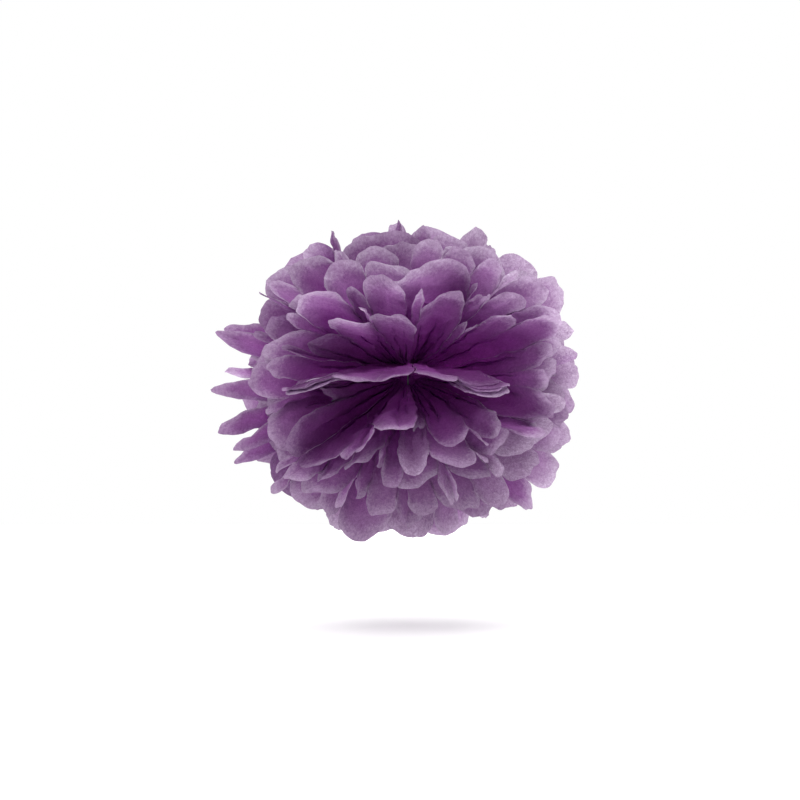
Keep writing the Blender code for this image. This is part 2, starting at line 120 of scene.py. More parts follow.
# A fan's panels are wide and narrow in turn: least and most share of a pair that the wide one has
LEAST_WIDE = 0.66
MOST_WIDE = 0.90

# A wide petal keeps its width towards the tie, over the narrow one beside it: by how much, and over
# which share of the reach that builds up
OVERLAP = 1.0
OVERLAP_REACH = 0.65

# Petals open outward along their length by this share of their angle from the middle. Near the
# tie the pleats are even, up to the straight share, and a sheet's folds settle within a short way.
ARCH = 0.16
STRAIGHT_SHARE = 0.35
SETTLE_REACH = 0.02

# How much petals differ: in length, notch, width, depth of fold, bulge, crease, curl and sway.
# A crease flattens towards the tip: the share of its depth lost there, and the power of that.
LENGTH_SPREAD = 0.07
NOTCH_SPREAD = 0.15
WIDE_SPREAD = 0.10
NARROW_SPREAD = 0.50
FOLD_DEPTHS = (0.8, 1.1)
BULGE = 0.22
CREASES = (0, 0, 0, 0.4, -0.4)
CURL = 0.35
CREASE_LOSS = 0.7
CREASE_FADE = 6
SWAY_ANGLE = 4
SWAY_WAVES = (0.8, 1.6)

# Shape of the trimmed tips: the power of their curve, 2 for a round tip and less for a pointed one,
# and the numbers of the pointed petals for (sheet, side)
ROUND = 2.0
POINTED = 1.4
POINTED_PETALS = {
    (3, -1): (10,),
    (4, -1): (4, 6),
    (4, 1): (7,),
    (5, -1): (5, 8, 12),
    (6, -1): (4, 9, 13),
    (6, 1): (7,),
}

# Folds of the petals that face the viewer, given one by one for (sheet, side): fold number, fan
# angle and place in the stack from the sheet's own
SET_FOLDS = {
    (1, -1): (
        (1, -63, -0.75), (2, -60, 0.35), (3, -54, -0.10), (4, -42, 0.30), (5, -24, -0.60),
        (6, -9, 0.30), (7, -5, -0.30), (8, -2, 0.25), (9, 13, -0.30), (10, 20, 0.10),
        (11, 37, 0.30), (12, 59, -0.10), (13, 62, 0.38),
    ),
    (1, 1): (
        (1, -70, 0.20), (2, -44, -0.65), (3, -43, 0.35), (4, -27, -0.75), (5, -24.5, 0.38),
        (6, -8, 0.30), (7, 2, -0.2), (8, 14, 0.20), (9, 27, -0.30), (10, 40, 0.38),
        (11, 44, -0.38), (12, 54, 0.35), (13, 79, -0.25),
    ),
    (2, -1): (
        (4, -52, 0.3), (5, -41, -0.3), (9, 9, 0.3), (10, 27, -0.3), (11, 34, 0.3),
        (12, 54, -0.2), (13, 66, 0.35),
    ),
    (2, 1): (
        (1, -75, -0.3), (2, -54, 0.1), (3, -51, 0.38), (4, -34, -0.3), (5, -24, 0.3),
        (6, -21, -0.35), (7, -6, 0.2), (9, 21, -0.3), (11, 47, 0.2), (12, 55, -0.38),
        (13, 61, 0.3),
    ),
    (3, -1): (
        (1, -72, 0.3), (2, -66, -0.38), (3, -63, 0.3), (4, -47, -0.3), (9, 17, 0.3),
        (10, 33, -0.3), (11, 36, 0.3), (12, 52, -0.3), (13, 72, 0.3),
    ),
    (3, 1): (
        (1, -76, -0.3), (2, -71, 0.3), (3, -68, -0.38), (4, -52, 0.3), (9, 31, -0.3),
        (10, 46, 0.3), (12, 62, -0.3), (13, 76, 0.2),
    ),
    (4, 1): ((7, 4, 0.3), (8, 13, -0.3)),
    (4, -1): (
        (4, -30, 0.3), (5, -20, -0.3), (6, -12.5, 0.3), (7, -2.5, -0.3), (9, 20, 0.3),
    ),
    (5, -1): (
        (5, -23.5, -0.3), (6, -13.5, 0.3), (8, 7.5, -0.3), (9, 18.5, 0.3), (12, 64.2, -0.2),
        (13, 68.2, 0.2),
    ),
    (6, -1): (
        (4, -36, 0.3), (5, -26, -0.3), (9, 14.5, 0.3), (10, 24.5, -0.3), (13, 84.5, -0.3),
    ),
}

# Places of a fan's edge at the lower seam, given for (sheet, side)
SET_EDGES = {(1, -1): -0.6, (1, 1): 0.3}

# Petals that are curled or trimmed short, or stand out long, as shares of the reach: for
# (sheet, side), panel number and share. The left side's bare gaps and spikes come from these.
SET_LENGTHS = {
    (0, -1): {10: 0.9, 11: 1.0, 12: 0.97, 13: 0.93},
    (0, 1): {11: 0.9, 12: 1.0, 13: 0.96},
    (1, -1): {0: 1.0, 5: 0.66, 6: 0.7, 7: 0.75, 8: 1.0, 9: 0.93, 10: 0.8, 11: 0.97},
    (1, 1): {0: 0.8, 4: 0.8, 5: 0.95, 10: 0.8, 11: 0.8},
    (3, -1): {4: 0.9, 5: 0.84, 6: 0.84, 7: 0.84, 8: 0.84, 9: 0.9},
    (3, 1): {6: 0.95, 7: 0.84},
    (4, -1): {0: 0.95, 1: 1.07, 3: 0.84, 4: 1.04, 5: 0.80, 6: 1.08, 7: 0.82, 8: 0.84, 9: 0.89},
    (4, 1): {5: 0.9, 6: 0.84, 7: 0.97},
    (5, -1): {4: 0.84, 5: 1.05, 6: 0.82, 7: 0.80, 8: 1.03, 9: 0.82, 12: 1.05},
    (5, 1): {0: 0.96, 6: 0.93, 7: 0.97, 8: 0.92},
    (6, -1): {4: 1.06, 5: 0.84, 6: 0.8, 7: 0.8, 8: 0.84, 9: 1.03, 10: 0.9, 11: 1.04, 12: 0.97, 13: 1.03},
    (6, 1): {6: 0.97, 7: 0.9, 8: 0.94, 12: 0.97},
    (7, -1): {5: 0.84, 6: 0.84, 7: 0.84, 8: 0.84},
    (7, 1): {6: 0.94, 7: 0.94},
}

# Petals creased along their middle: for (sheet, side), panel number and depth in the stack
SET_CREASES = {
    (1, -1): {0: 1.1},
    (1, 1): {1: 0.3},
    (2, 1): {11: -0.5},
    (3, 1): {9: -0.5},
}

# The front sheet lies flat, with its fans shut: its pleats are stacked in layers, but for the top
# ones, which are spread out side by side into a strip of petals across the ball. For each side,
# in degrees from the front pole: the folds of the spread pleats, the outer and inner folds of the
# shut ones at their tips, and how near to the pole the inner folds come, where the shut pleats
# keep their width towards the tie
SPREAD_FOLDS = {-1: (-37.0, -23.8, -10.0, 2.0), 1: (33.0, 17.9, 2.8)}
SHUT_FOLDS = {-1: (-37.5, -24.0), 1: (33.5, 19.5)}
SHUT_NEAR_TIE = {-1: -7.0, 1: 6.0}

# The front sheet's notches as a share of the reach, how much its petals open outward along their
# length, and the share of the waist's width that its layers take
FRONT_NOTCH = 0.88
FRONT_ARCH = 0.22
STACK_SQUEEZE = 0.85

# How far the strip rises on its way from the tie, how far its tips hang down at the pole and, as a
# share of the reach for each degree squared, towards the sides. Then the wave from petal to petal:
# its height, its turn for each degree round the pole and where it starts, in degrees
STRIP_RISE = 0.0042
STRIP_DROOP = 0.0055
SIDE_DROOPS = {-1: 0.0000128, 1: 0.000028}
STRIP_WAVE = 0.0018
WAVES_PER_DEGREE = 12.5
WAVE_START = 40

# The seed of the petals' differences, and its steps from sheet to sheet and from side to side
SEED = 5
SEEDS_A_SHEET = 7919
SEEDS_A_SIDE = 31
MEAN_REACH = (LEFT_REACH + RIGHT_REACH) / 2
SHEET_PITCH = SHEET_THICKNESS + SHEET_GAP
RIGHT = 1
LEFT = -1

# Points across each pleat and along each petal. The first share of the columns' steps is eased, so
# that they stand closer together near the folds, and the power brings rows closer at the edges.
COLUMNS = 22
ROWS = 36
COLUMN_SHARES = (0.55, 0.45)
ROW_POWER = 0.95

# Narrow tucks that gather the paper near the tie: how deep, in degrees at the tips' reach, how
# sharp, how many go once round, and how their places wander. They are deepest at the full share
# of the reach, rise from the tie over the next one, and fade between the last two.
GATHER_DEPTH = 3.8
GATHER_SHARPNESS = 14
GATHER_ROUND = 27
GATHER_WANDERS = ((0.9, 5), (0.7, 11))
GATHER_FULL = 0.17
GATHER_RISE = 0.12
GATHER_FADE = (0.38, 0.86)
FRONT_GATHER_DEPTH = 0.0008

# Crinkles of the whole paper: height in metres, and waves for each metre. Then how many waves each
# kind has, the share of the height that one wave gets, how much their rates differ, how far from
# the tie they start, the way over which they build up, and their seed.
CRINKLES = ((0.0008, 55), (0.0006, 105), (0.00028, 210))
CRINKLE_WAVES = 5
CRINKLE_SHARE = 0.6
CRINKLE_RATES = (0.7, 1.3)
CRINKLE_STARTS_AT = 0.012
CRINKLE_BUILDS_UP = 0.05
CRINKLE_SEED = 11

# Crisp folds left from packing: how many, height in metres, and how far apart they run
FOLD_LINES = 7
FOLD_LINE_HEIGHT = 0.0011
FOLD_LINE_STEPS = (0.030, 0.055)

# The shut layers of the front sheet lie closer together towards their tips, by this share
LAYERS_CLOSE = 0.2

# Fluttering rims: the most height in metres, the share of it that a petal has, waves across a
# petal, the share of the petal they start at, and the seed
FLUTTER = 0.0016
FLUTTER_SHARES = (0.3, 1)
FLUTTER_WAVES = (0.6, 1.8)
FLUTTER_FROM = 0.72
FLUTTER_SEED = 900

# Folds that show as crisp pale lines, for (sheet, side)
CRISP_FOLDS = {(1, 1): (4, 11, 12), (1, -1): (4, 9), (2, 1): (6, 11, 12), (3, 1): (5,)}

# Uneven trimming: how far the edge wanders, as a share of the reach, and in how many waves across
# a petal, how blunt petals are, how far their tips lean to one side, and the seed's step from sheet
# to sheet. Then how many points on each petal's edge its flat area is worked out from.
EDGE_WANDER = 0.004
EDGE_WAVES = (2, 3, 5)
BLUNTNESS = (0.88, 1.2)
TIP_LEAN = 0.12
EDGE_SEEDS_A_SHEET = 100
AREA_STEPS = 100

# The paper's look: its seed, the step of this seed and the flutter's from sheet to sheet, and the
# angle in degrees from which an edge is shaded as a sharp fold
LOOK_SEED = 500
FINE_SEEDS_A_SHEET = 10
SHARP_ANGLE = 38

# Colours of the paper seen from its lit side, and of the light that comes through it, by how far
# out along the petal, and how far along it the clouds of fibres blur them. The change along the
# petal is painted light and shade: brightest and deepest near the tie, darkest just inside the
# rims, paler at the rims.
FRONT_COLOURS_WITH_PAINTED_SHADE = (
    (0.25, (0.37, 0.034, 0.390)),
    (0.65, (0.24, 0.033, 0.260)),
    (0.90, (0.185, 0.050, 0.202)),
    (0.99, (0.23, 0.105, 0.250)),
)
THROUGH_COLOURS_WITH_PAINTED_SHADE = (
    (0.25, (0.74, 0.16, 0.78)),
    (0.65, (0.47, 0.13, 0.52)),
    (0.90, (0.40, 0.205, 0.44)),
    (0.99, (0.62, 0.50, 0.66)),
)
COLOUR_BLUR = 0.10

# The paper's shade by its tone, and the least and most tone that a fold has. Pointed petals get
# painted shade: dark at one edge, less at the other.
TONES = ((0.0, (0.56, 0.36, 0.60)), (0.45, (0.80, 0.74, 0.81)), (1.0, (1.10, 1.12, 1.10)))
FOLD_TONES = (0.45, 1)
POINTED_PAINTED_SHADE_TONES = (0.0, 0.75)

# Tips that are pale with the light behind them: their colours, how much of the paleness shows on
# the lit side, the share of the petal they start at, and how pale they may be by the fan angle on
# each side and by the sheet
PALE_FRONT = (0.40, 0.27, 0.42)
PALE_THROUGH = (0.80, 0.70, 0.83)
PALE_FRONT_SHARE = 0.8
PALE_FROM = 0.3
PALE_RIGHT = ((-90, -55, 0, 60, 80), (0.7, 0.7, 0.7, 0.6, 0.2))
PALE_LEFT = ((-90, -60, -20, 90), (0.6, 0.3, 0.1, 0.1))
PALE_SHEETS = ((1, 2, 5, 9), (0.1, 0.5, 1.0, 0.8))

# Worn folds, as pale lines: their strength and colours, a power that keeps most of them faint, and
# one over the share of the petal along which they build up from the tie
RIDGE_STRENGTH = 0.95
RIDGE_FRONT = (0.52, 0.34, 0.55)
RIDGE_THROUGH = (0.80, 0.68, 0.84)
RIDGE_POWER = 2
RIDGE_RISE = 3

# The noise of the paper's clouds, grain, fibres and patches, and of the veins in its pale tips:
# scale, detail, roughness and, for two of them, how far they are bent. Then the shades they give.
CLOUDS = (480, 3, 0.6)
GRAIN = (1900, 2, 0.6)
FIBRES = (700, 4, 0.7, 2.5)
PATCHES = (28, 2, 0.5)
VEINS = (260, 5, 0.65, 3.5)
CLOUD_SHADES = ((0.30, (0.86, 0.84, 0.86)), (0.70, (1.10, 1.12, 1.10)))
GRAIN_SHADES = ((0.30, (0.84, 0.82, 0.84)), (0.70, (1.12, 1.14, 1.12)))
PATCH_SHADES = ((0.35, (0.90, 0.88, 0.90)), (0.65, (1.08, 1.10, 1.08)))
VEIN_SHADES = ((0.38, (0.62, 0.52, 0.64)), (0.52, (1.0, 1.0, 1.0)), (0.66, (1.35, 1.5, 1.35)))

# How strongly the veins show: everywhere, and how much more in pale tips
VEINS_EVERYWHERE = 0.12
VEINS_IN_TIPS = 0.9

# The paper's fine relief: the parts that the clouds and the fibres have in it, its strength and
# its height in metres. Then the paper's gloss, and the share of the light that goes through.
RELIEF_CLOUDS = 0.6
RELIEF_FIBRES = 0.4
RELIEF_STRENGTH = 0.55
RELIEF_HEIGHT = 0.0006
PAPER_ROUGHNESS = 0.62
FIBRES_ROUGHEN = 0.3
PAPER_BENDS_LIGHT = 1.4
PAPER_GLOSS = 0.15
LIGHT_THROUGH = 0.5

# The wire: the noise of its drawing marks, the shades they give, and how rough it is
WIRE_MARKS = (2400, 3, 0.6, 1.0)
WIRE_SHADES = ((0.3, (0.34, 0.34, 0.36)), (0.7, (0.52, 0.52, 0.54)))
WIRE_ROUGHNESS = 0.25
MARKS_ROUGHEN = 0.2

# Camera: on the front pole's axis, so that the tie shows at its place in the photograph. How far
# away it is, the width of its sensor, the widths of the picture and the ball in pixels and of the
# ball in metres, and how many pixels right of the middle and above it the tie shows.
CAMERA_AWAY = 1.6
SENSOR = 36
PICTURE = 800
BALL_PIXELS = 370
BALL_WIDTH = 0.25
FRAME_WIDTH = BALL_WIDTH * PICTURE / BALL_PIXELS
TIE_RIGHT_PIXELS = 8
TIE_UP_PIXELS = 24

# Studio: half the floor's width, how far it lies below the hung ball, its faint noise and the
# shades of it, its roughness and gloss, and the strength of the white sky
FLOOR_HALF = 1.1
FLOOR_DROP = 0.06
FLOOR_NOISE = (3, 2, 0.5)
FLOOR_SHADES = ((0.3, (0.985, 0.985, 0.985)), (0.7, (0.995, 0.995, 0.995)))
FLOOR_ROUGHNESS = 0.9
FLOOR_GLOSS = 0.1
WHITE = (1, 1, 1, 1)
SKY_LIGHT = 0.70

# Lamps overhead, at the front and behind: power, width, place and the point that they face
LAMPS = {
    "overhead": (50, 2.6, (0, -0.1, 2.0), (0, -0.1, 0)),
    "key": (8, 0.7, (-0.55, -1.2, 1.2), (0, 0, 0)),
    "back": (16, 1.0, (0.75, 1.3, 0.42), (0, 0, 0)),
}

# How often light may bounce: in all, off matte paper, and through it
ALL_BOUNCES = 14
MATTE_BOUNCES = 8
THROUGH_BOUNCES = 12


def smooth(x):
    """A soft step from 0 to 1."""
    x = np.clip(x, 0.0, 1.0)
    return x * x * (3 - 2 * x)


def pole_angle(place, fan_angle, side):
    """Angle from the front pole, in degrees, for a place in the stack. It grows with place."""
    rows = np.arange(SHEETS)
    past = np.minimum(place, 0) + np.maximum(place - (SHEETS - 1), 0)
    at_seam = np.interp(place, rows, SEAM_ANGLES) + past * PAST_STEP
    at_side = np.interp(place, rows, SIDE_ANGLES) + past * PAST_STEP
    sideways = np.abs(np.cos(np.radians(fan_angle))) ** SIDE_SHARPNESS
    angle = at_seam * (1 - sideways) + at_side * sideways
    for opened_side, centre, width, share in OPENINGS:
        if opened_side == side:
            push = share * np.exp(-(((fan_angle - centre) / width) ** 2))
            angle = angle + push * np.maximum(90 - angle, 0)
    return angle + waves_round(angle, fan_angle, side)


def waves_round(angle, fan_angle, side):
    """How far the sheets' common waves move a place away from the front pole, in degrees."""
    round_angle = fan_angle if side == RIGHT else 180 - fan_angle
    wave = 0
    for height, count, start in ROUND_WAVES:
        wave = wave + height * np.sin(np.radians(round_angle * count + start))
    rise = smooth((angle - WAVES_RISE[0]) / (WAVES_RISE[1] - WAVES_RISE[0]))
    fall = 1 - smooth((angle - WAVES_FALL[0]) / (WAVES_FALL[1] - WAVES_FALL[0]))
    return wave * rise * fall


def waist_nest(sheet):
    """How far a sheet's waist lies inside the middle sheet's, so that the fans nest."""
    from_middle = abs(sheet - (SHEETS - 1) / 2)
    return (from_middle - 0.5) * SHEET_PITCH


def varied(rng, spread):
    """A random value within the spread on either side of 0."""
    return spread * rng.uniform(-1, 1)


def pleat_widths(sheet, rng):
    """Relative fan widths of one fan's panels, and the way that its folds alternate.

    A sheet near a pole has a short way round, so every second panel lies nearly flat on and the
    panel between stands edge on.
    """
    mid_angle = math.radians((SEAM_ANGLES[sheet] + SIDE_ANGLES[sheet]) / 2)
    pair_arc = MEAN_REACH * math.sin(mid_angle) * math.pi / (PLEATS / 2)
    wide_share = min(MOST_WIDE, max(LEAST_WIDE, PLEAT_WIDTH / pair_arc))
    flip = rng.random() < 0.5
    widths = []
    for panel in range(PLEATS):
        if (panel % 2 == 0) != flip:
            widths.append(wide_share * (1 + varied(rng, WIDE_SPREAD)))
        else:
            widths.append((1 - wide_share) * (1 + varied(rng, NARROW_SPREAD)))
    return widths, flip


def placed_folds(angles, places, folds):
    """Moves the listed folds to their angles, and the folds between them in proportion."""
    kept = [fold for fold in folds if fold[0] < PLEATS]
    stops = [0] + [fold[0] for fold in kept] + [PLEATS]
    new = [angles[0]] + [fold[1] for fold in kept] + [angles[-1]]
    moved = angles.copy()
    for first, last, start, end in zip(stops, stops[1:], new, new[1:]):
        scale = (end - start) / (angles[last] - angles[first])
        for fold in range(first, last + 1):
            moved[fold] = start + (angles[fold] - angles[first]) * scale
    for fold, _, place in kept:
        places[fold] = place
    return moved, places


def fan_of(sheet, side):
    """One fan of one sheet: fan angle and place of each fold, and each petal's own shape."""
    rng = random.Random(SEED + SEEDS_A_SHEET * sheet + SEEDS_A_SIDE * (side == RIGHT))
    widths, flip = pleat_widths(sheet, rng)
    edges = np.concatenate([[0], np.cumsum(widths)])
    low = -90 + side * LOWER_SEAMS[sheet] - SEAM_OVERLAP
    high = 90 - side * UPPER_SEAMS[sheet] + SEAM_OVERLAP
    angles = low + edges / edges[-1] * (high - low)
    places = np.empty(PLEATS + 1)
    for fold in range(PLEATS + 1):
        turn = 1 if (fold % 2 == 0) == flip else -1
        places[fold] = turn * BAND * rng.uniform(*FOLD_DEPTHS)
    places[0] = -side * SEAM_PLACE
    places[-1] = side * SEAM_PLACE
    places[0] = SET_EDGES.get((sheet, side), places[0])
    angles, places = placed_folds(angles, places, SET_FOLDS.get((sheet, side), ()))
    lengths = [1 + varied(rng, LENGTH_SPREAD) for _ in range(PLEATS)]
    bulges = [varied(rng, BULGE) for _ in range(PLEATS)]
    creases = [rng.choice(CREASES) for _ in range(PLEATS)]
    curls = [varied(rng, CURL) for _ in range(PLEATS)]
    for panel, share in SET_LENGTHS.get((sheet, side), {}).items():
        lengths[panel] = share
    for panel, depth in SET_CREASES.get((sheet, side), {}).items():
        creases[panel] = depth
    pointed = POINTED_PETALS.get((sheet, side), ())
    blunts = [POINTED if panel in pointed else ROUND for panel in range(PLEATS)]
    notches = []
    for fold in range(PLEATS + 1):
        shorter = min(lengths[max(fold - 1, 0) : fold + 1])
        notches.append(shorter - NOTCH_DEPTH / MEAN_REACH * (1 + varied(rng, NOTCH_SPREAD)))
    if sheet == 0:
        notches = [FRONT_NOTCH] * (PLEATS + 1)
    swing = varied(rng, SWAY_ANGLE)
    sway = (swing, rng.uniform(0, 2 * math.pi), rng.uniform(*SWAY_WAVES))
    return {
        "angles": angles,
        "places": places,
        "lengths": np.array(lengths),
        "bulges": np.array(bulges),
        "creases": np.array(creases),
        "curls": np.array(curls),
        "notches": np.array(notches),
        "blunts": np.array(blunts),
        "sway": sway,
    }


def panel_of(along):
    """The panel that a fold number lies in, and how far across it, from 0 to 1."""
    panel = np.clip(np.floor(along).astype(int), 0, PLEATS - 1)
    return panel, along - panel


def fan_angle_at(fan, along, share):
    """Fan angle: even at the tie, then to each fold's own angle, with a slow sway at the tips."""
    panel, across = panel_of(along)
    own = fan["angles"][panel] * (1 - across) + fan["angles"][panel + 1] * across
    widths = np.diff(fan["angles"])
    push = np.zeros(PLEATS + 1)
    push[1:-1] = (widths[:-1] - widths[1:]) / 2
    push = push[panel] * (1 - across) + push[panel + 1] * across
    own = own + OVERLAP * push * smooth((1 - share) / OVERLAP_REACH)
    swing, phase, waves = fan["sway"]
    inner = np.sin(math.pi * along / PLEATS)
    turn = phase + waves * 2 * math.pi * along / PLEATS
    own = own + swing * np.sin(turn) * inner * share**2
    even = (along / PLEATS - 0.5) * 180
    return even + (own - even) * smooth(share / STRAIGHT_SHARE)


def place_at(fan, sheet, along, share):
    """Place in the stack: folds alternate front and back, and petals cup, crease and curl."""
    panel, across = panel_of(along)
    place = fan["places"][panel] * (1 - across) + fan["places"][panel + 1] * across
    cup = fan["bulges"][panel] * 4 * across * (1 - across)
    crease = fan["creases"][panel] * (1 - np.abs(2 * across - 1))
    curl = np.interp(along, np.arange(PLEATS) + 0.5, fan["curls"])
    flattened = 1 - CREASE_LOSS * share**CREASE_FADE
    place = place + (cup + crease * flattened) * share + curl * share**4
    room = np.where(place < 0, FRONT_ROOMS.get(sheet, BAND), BAND)
    near_tie = BAND / room
    opened = near_tie + (1 - near_tie) * smooth(share / STRAIGHT_SHARE)
    own = room * np.tanh(place / room) * opened
    return sheet + own * smooth(share * MEAN_REACH / SETTLE_REACH)


def waist_share(share, reach):
    """How far a place still follows the tied waist: 1 at the tie and 0 past the reach."""
    return 1 - smooth(share * MEAN_REACH / reach)


def sheet_points(sheet, side, fan, along, share):
    """Points of a sheet in metres, from fold numbers and shares of the reach."""
    along = np.asarray(along, float)
    share = np.asarray(share, float)
    if sheet == 0:
        return front_points(side, along, share)
    fan_angle = fan_angle_at(fan, along, share)
    angle = pole_angle(place_at(fan, sheet, along, share), fan_angle, side)
    round_angle = fan_angle if side == RIGHT else 180 - fan_angle
    angle = angle + gathers(round_angle, share)
    angle = np.radians(90 + (angle - 90) * (1 + ARCH * (1 - share)))
    fan_angle = np.radians(fan_angle)
    across = side * np.sin(angle) * np.cos(fan_angle)
    up = np.sin(angle) * np.sin(fan_angle)
    reach_x = MEAN_REACH + (RIGHT_REACH - LEFT_REACH) / 2 * across
    reach_z = (TOP_REACH + BOTTOM_REACH) / 2 + (TOP_REACH - BOTTOM_REACH) / 2 * up
    held = waist_share(share, WAIST_REACH)
    end_held = waist_share(share, WAIST_END_REACH)
    waist_y = (sheet - (SHEETS - 1) / 2) * SHEET_PITCH
    nest = waist_nest(sheet)
    x = side * (WAIST_HALF_LENGTH - nest) * end_held + share * reach_x * across
    y = waist_y * held - share * FRONT_REACH * np.cos(angle)
    z = (along / PLEATS - 0.5) * (WAIST_WIDTH - 2 * nest) * held + share * reach_z * up
    return np.stack([x, y, z], axis=-1)


def front_points(side, along, share):
    """Points of the front sheet, whose pleats lie in flat layers with a strip spread on top."""
    spread = SPREAD_FOLDS[side]
    shut = PLEATS + 1 - len(spread)
    outer, inner = SHUT_FOLDS[side]
    folds = np.arange(PLEATS + 1)
    is_inner = (folds < shut) & ((folds + shut) % 2 == 1)
    turns = np.where(is_inner, inner, outer)
    turns[shut:] = spread
    width = outer - inner
    widest = outer - SHUT_NEAR_TIE[side]
    extra = width / np.maximum(share, width / widest) - width
    turned = np.interp(along, folds, turns) - np.interp(along, folds, is_inner) * extra
    away = np.radians(turned * (1 - FRONT_ARCH * (1 - share)))
    nest = waist_nest(0)
    reach_x = RIGHT_REACH if side == RIGHT else LEFT_REACH
    end = side * (WAIST_HALF_LENGTH - nest) * waist_share(share, WAIST_END_REACH)
    x = end + share * reach_x * np.sin(away)
    waist_y = -(SHEETS - 1) / 2 * SHEET_PITCH
    y = waist_y * waist_share(share, WAIST_REACH) - share * FRONT_REACH * np.cos(away)
    layer = (along / PLEATS - 0.5) * (WAIST_WIDTH - 2 * nest) * STACK_SQUEEZE
    rise = STRIP_RISE * 4 * share * (1 - share)
    wave = STRIP_WAVE * np.sin(np.radians(turned * WAVES_PER_DEGREE + WAVE_START)) * share
    droop = (STRIP_DROOP + SIDE_DROOPS[side] * MEAN_REACH * turned**2) * share**3
    fine = front_gathers(turned, share)
    return np.stack([x, y, layer + rise + wave - droop + fine], axis=-1)


def gathers(round_angle, share):
    """Degrees that the narrow tucks near the tie move a place towards the back."""
    rise = smooth(share / GATHER_RISE)
    fade = 1 - smooth((share - GATHER_FADE[0]) / (GATHER_FADE[1] - GATHER_FADE[0]))
    fade = fade / np.maximum(share, GATHER_FULL)
    turn = np.radians(round_angle)
    wander = sum(size * np.sin(count * turn) for size, count in GATHER_WANDERS)
    wave = np.cos(turn * GATHER_ROUND + wander)
    return GATHER_DEPTH * rise * fade * np.exp(GATHER_SHARPNESS * (wave - 1))


def front_gathers(turned, share):
    """Metres that the tucks move a place of the flat front sheet upwards."""
    return FRONT_GATHER_DEPTH / GATHER_DEPTH * gathers(turned, share)


def crinkled(points):
    """Points moved by the paper's crinkles, which are smooth waves in many directions."""
    rng = np.random.default_rng(CRINKLE_SEED)
    moved = points.copy()
    away = np.linalg.norm(points, axis=-1, keepdims=True)
    ramp = smooth((away - CRINKLE_STARTS_AT) / CRINKLE_BUILDS_UP)
    for height, rate in CRINKLES:
        for _ in range(CRINKLE_WAVES):
            wave = rng.normal(size=3)
            wave = wave / np.linalg.norm(wave) * rate * 2 * math.pi * rng.uniform(*CRINKLE_RATES)
            push = rng.normal(size=3)
            push = push / np.linalg.norm(push) * height * CRINKLE_SHARE
            turn = points @ wave + rng.uniform(0, 2 * math.pi)
            moved = moved + np.sin(turn)[..., None] * push * ramp
    for _ in range(FOLD_LINES):
        wave = rng.normal(size=3)
        wave = wave / np.linalg.norm(wave) / rng.uniform(*FOLD_LINE_STEPS)
        push = rng.normal(size=3)
        push = push / np.linalg.norm(push) * FOLD_LINE_HEIGHT
        steps = points @ wave + rng.uniform(0, 1)
        ridge = 2 * np.abs(steps - np.floor(steps) - 0.5)
        moved = moved + (ridge - 0.5)[..., None] * push * ramp
    return moved


def petal_edge(fan, sheet, side, along):
    """Share of the reach where the trimmed edge is: blunter or sharper petals, and uneven."""
    rng = np.random.default_rng(EDGE_SEEDS_A_SHEET * sheet + (side == RIGHT))
    panel, across = panel_of(along)
    blunt = (fan["blunts"] * rng.uniform(*BLUNTNESS, PLEATS))[panel]
    lean = rng.uniform(-TIP_LEAN, TIP_LEAN, PLEATS)[panel]
    wander = rng.uniform(0, 2 * math.pi, (len(EDGE_WAVES), PLEATS))
    base = fan["notches"][panel] * (1 - across) + fan["notches"][panel + 1] * across
    middle = np.clip(across + lean * 4 * across * (1 - across), 0, 1)
    arc = np.clip(1 - np.abs(2 * middle - 1) ** blunt, 0, 1) ** (1 / blunt)
    edge = base + (fan["lengths"][panel] - base) * arc
    for wave, start in zip(EDGE_WAVES, wander):
        step = np.sin(2 * math.pi * wave * across + start[panel]) * arc
        edge = edge + EDGE_WANDER / wave * step
    return edge


def column_places():
    """Fold numbers of the columns: closer together near the folds, where the edge is steep."""
    eased = (1 - np.cos(math.pi * np.arange(COLUMNS) / COLUMNS)) / 2
    steps = COLUMN_SHARES[0] * eased + COLUMN_SHARES[1] * np.arange(COLUMNS) / COLUMNS
    return np.concatenate([panel + steps for panel in range(PLEATS)] + [[PLEATS]])


def fan_grid(sheet, side):
    """Rows of points of one fan, from the tie to the petal edges."""
    fan = fan_of(sheet, side)
    along = column_places()
    rows = np.linspace(0, 1, ROWS + 1) ** ROW_POWER
    edge = petal_edge(fan, sheet, side, along)
    grid, share = np.meshgrid(along, rows)
    points = sheet_points(sheet, side, fan, grid, share * edge)
    if sheet == 0:
        layer = (grid / PLEATS - 0.5) * (WAIST_WIDTH - 2 * waist_nest(0)) * STACK_SQUEEZE
        points[..., 2] -= layer * LAYERS_CLOSE * smooth(share)
    rng = np.random.default_rng(FLUTTER_SEED + FINE_SEEDS_A_SHEET * sheet + (side == RIGHT))
    panel, across = panel_of(grid)
    waves = rng.uniform(*FLUTTER_WAVES, PLEATS)[panel]
    start = rng.uniform(0, 2 * math.pi, PLEATS)[panel]
    height = FLUTTER * (sheet > 0) * rng.uniform(*FLUTTER_SHARES, PLEATS)[panel]
    inside = 4 * across * (1 - across)
    lift = height * inside * smooth((share - FLUTTER_FROM) / (1 - FLUTTER_FROM))
    lift = lift * np.sin(2 * math.pi * waves * across + start)
    along_fan = np.gradient(points, axis=1)
    outward = np.gradient(points, axis=0)
    facing = np.cross(along_fan, outward)
    facing = facing / np.maximum(np.linalg.norm(facing, axis=-1, keepdims=True), 1e-9)
    return points + lift[..., None] * facing


def cut_area(sheet):
    """Flat area of one sheet, in square metres: its pleats, each cut round at both ends."""
    area = 0
    for side, reach in ((RIGHT, RIGHT_REACH), (LEFT, LEFT_REACH)):
        along = np.linspace(0, PLEATS, PLEATS * AREA_STEPS + 1)
        edge = petal_edge(fan_of(sheet, side), sheet, side, along)
        area += float(edge.mean()) * reach * PLEATS * PLEAT_WIDTH
    return area


